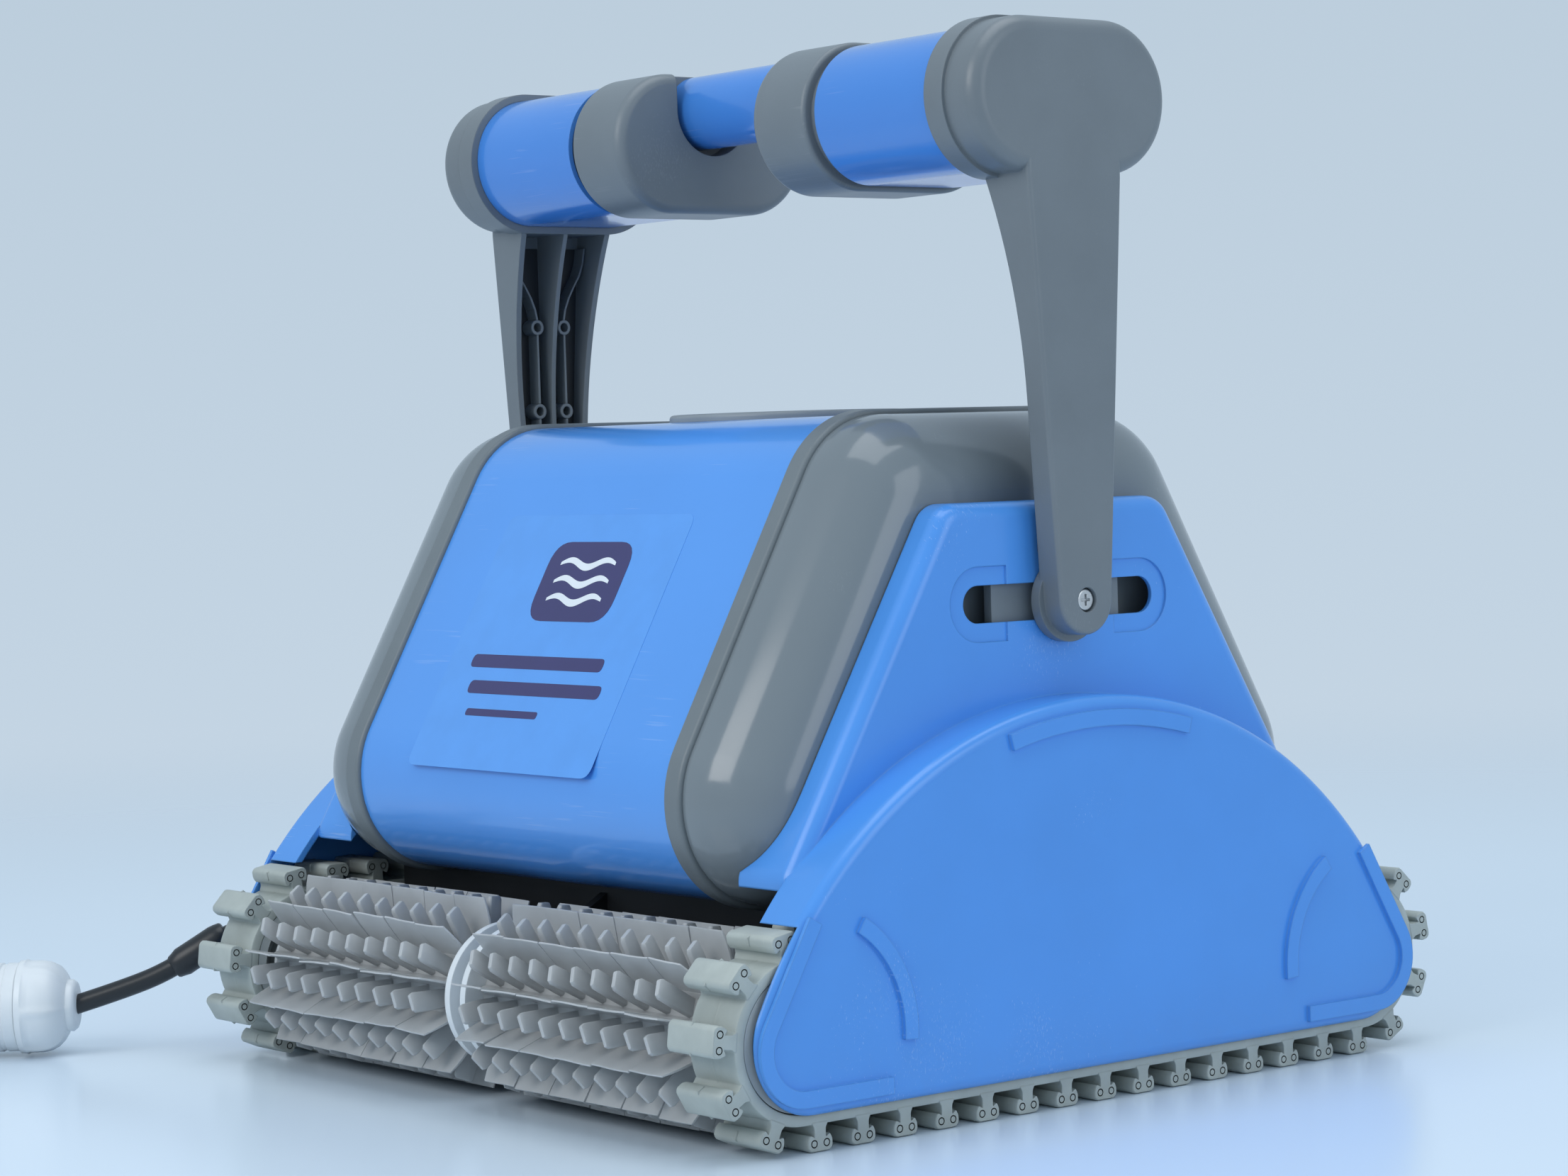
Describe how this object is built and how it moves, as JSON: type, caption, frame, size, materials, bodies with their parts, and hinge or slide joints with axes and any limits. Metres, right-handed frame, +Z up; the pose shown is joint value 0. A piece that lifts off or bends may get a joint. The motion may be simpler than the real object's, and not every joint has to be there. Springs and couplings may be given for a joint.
{
  "type": "pool cleaner",
  "caption": "Tracked pool-cleaning machine with brush rollers, a rounded shell with outlet, drop-shaped side panels and an upright float handle that slides and tilts.",
  "frame": {"origin": "on the floor, midway between the two tracks and the two axles, under the middle of the body", "axes": "+X to the machine's right side, along the axles; -Y forward; +Z up"},
  "size_m": [0.5453, 0.5324, 0.463],
  "materials": {
    "shell_blue": "glossy injection-moulded ABS, light scuffs",
    "grey_gloss": "glossy moulded plastic",
    "rim_grey": "semi-matte seal strip",
    "handle_grey": "fine satin moulded plastic",
    "outlet_grey": "satin moulded plastic",
    "track_rubber": "pale grey moulded rubber",
    "brush_pvc": "translucent pale grey soft PVC",
    "white_plastic": "white moulded plastic",
    "pulley_grey": "light grey moulded plastic",
    "black_plastic": "satin black moulded plastic",
    "steel": "stainless steel",
    "bearing_plastic": "self-lubricating plastic",
    "bag_fabric": "fine woven filter cloth",
    "foam": "closed-cell foam",
    "cable_rubber": "satin black cable sheath"
  },
  "bodies": {
    "root": {"lid": "shell_blue", "rim_right": "rim_grey", "rim_left": "rim_grey", "dome_right": "grey_gloss", "dome_left": "grey_gloss", "outlet_grille": "outlet_grey", "outlet_duct": "black_plastic", "tub": "black_plastic", "tray": "black_plastic", "motor_case_lower": "black_plastic", "motor_case_upper": "black_plastic", "pump_motor": "black_plastic", "filter_bag": "bag_fabric", "bag_frame": "black_plastic", "drive_motors": "black_plastic", "drive_bushes": "bearing_plastic", "track_right": "track_rubber", "track_left": "track_rubber", "axles": "steel", "roller_bushes": "bearing_plastic", "side_panel_right": "shell_blue", "side_panel_left": "shell_blue", "panel_screws": "steel", "cable_gland": "black_plastic", "cable_boot": "cable_rubber", "cable": "cable_rubber", "cable_sleeve": "cable_rubber", "connector_nut": "white_plastic", "connector_body": "white_plastic"},
    "impeller": {"impeller": "white_plastic", "pump_shaft": "steel"},
    "flap_front": {"intake_flap_front": "white_plastic"},
    "flap_rear": {"intake_flap_rear": "white_plastic"},
    "lock_right": {"tray_lock_right": "black_plastic"},
    "lock_left": {"tray_lock_left": "black_plastic"},
    "drive_right": {"drive_sprocket_right": "bearing_plastic"},
    "drive_left": {"drive_sprocket_left": "bearing_plastic"},
    "slider": {"slider_right": "handle_grey", "slider_left": "handle_grey", "pivot_screws": "steel"},
    "handle": {"handle_arm_right": "handle_grey", "handle_arm_left": "handle_grey", "float_tube_right": "shell_blue", "float_tube_left": "shell_blue", "float_foams": "foam", "collar_right": "handle_grey", "collar_left": "handle_grey", "grip": "shell_blue"},
    "roller_front_right": {"roller_tube_front_right": "white_plastic", "brush_front_right": "brush_pvc", "pulley_front_right": "pulley_grey"},
    "roller_front_left": {"roller_tube_front_left": "white_plastic", "brush_front_left": "brush_pvc", "pulley_front_left": "pulley_grey"},
    "roller_rear_right": {"roller_tube_rear_right": "white_plastic", "brush_rear_right": "brush_pvc", "pulley_rear_right": "pulley_grey"},
    "roller_rear_left": {"roller_tube_rear_left": "white_plastic", "brush_rear_left": "brush_pvc", "pulley_rear_left": "pulley_grey"}
  },
  "joints": [
    {"name": "roller_front_right_spin", "type": "hinge", "parent": "root", "child": "roller_front_right", "pos_m": [0.1, -0.164, 0.045], "axis": [1, 0, 0], "continuous": true},
    {"name": "roller_rear_right_spin", "type": "hinge", "parent": "root", "child": "roller_rear_right", "pos_m": [0.1, 0.164, 0.045], "axis": [1, 0, 0], "continuous": true},
    {"name": "drive_right_spin", "type": "hinge", "parent": "root", "child": "drive_right", "pos_m": [0.187, 0, 0.06], "axis": [1, 0, 0], "continuous": true},
    {"name": "roller_front_left_spin", "type": "hinge", "parent": "root", "child": "roller_front_left", "pos_m": [-0.1, -0.164, 0.045], "axis": [1, 0, 0], "continuous": true},
    {"name": "roller_rear_left_spin", "type": "hinge", "parent": "root", "child": "roller_rear_left", "pos_m": [-0.1, 0.164, 0.045], "axis": [1, 0, 0], "continuous": true},
    {"name": "drive_left_spin", "type": "hinge", "parent": "root", "child": "drive_left", "pos_m": [-0.187, 0, 0.06], "axis": [1, 0, 0], "continuous": true},
    {"name": "impeller_spin", "type": "hinge", "parent": "root", "child": "impeller", "pos_m": [0, 0, 0.219], "axis": [0, 0, 1], "continuous": true},
    {"name": "flap_rear_open", "type": "hinge", "parent": "root", "child": "flap_rear", "pos_m": [0, 0.0405, 0.026], "axis": [1, 0, 0], "range_deg": [0, 70]},
    {"name": "flap_front_open", "type": "hinge", "parent": "root", "child": "flap_front", "pos_m": [0, -0.0405, 0.026], "axis": [-1, 0, 0], "range_deg": [0, 70]},
    {"name": "lock_right_turn", "type": "hinge", "parent": "root", "child": "lock_right", "pos_m": [0.143, 0, 0.021], "axis": [0, 0, 1], "range_deg": [0, 90]},
    {"name": "lock_left_turn", "type": "hinge", "parent": "root", "child": "lock_left", "pos_m": [-0.143, 0, 0.021], "axis": [0, 0, 1], "range_deg": [0, 90]},
    {"name": "handle_slide", "type": "slide", "parent": "root", "child": "slider", "axis": [0, 1, 0], "range_m": [-0.042, 0.042]},
    {"name": "handle_tilt", "type": "hinge", "parent": "slider", "child": "handle", "pos_m": [0, 0, 0.214], "axis": [1, 0, 0], "range_deg": [-70, 70]}
  ],
  "couplings": [
    {"joint": "roller_rear_right_spin", "follows": "roller_front_right_spin", "ratio": 1},
    {"joint": "drive_right_spin", "follows": "roller_front_right_spin", "ratio": 2.1642},
    {"joint": "roller_rear_left_spin", "follows": "roller_front_left_spin", "ratio": 1},
    {"joint": "drive_left_spin", "follows": "roller_front_left_spin", "ratio": 2.1642}
  ]
}
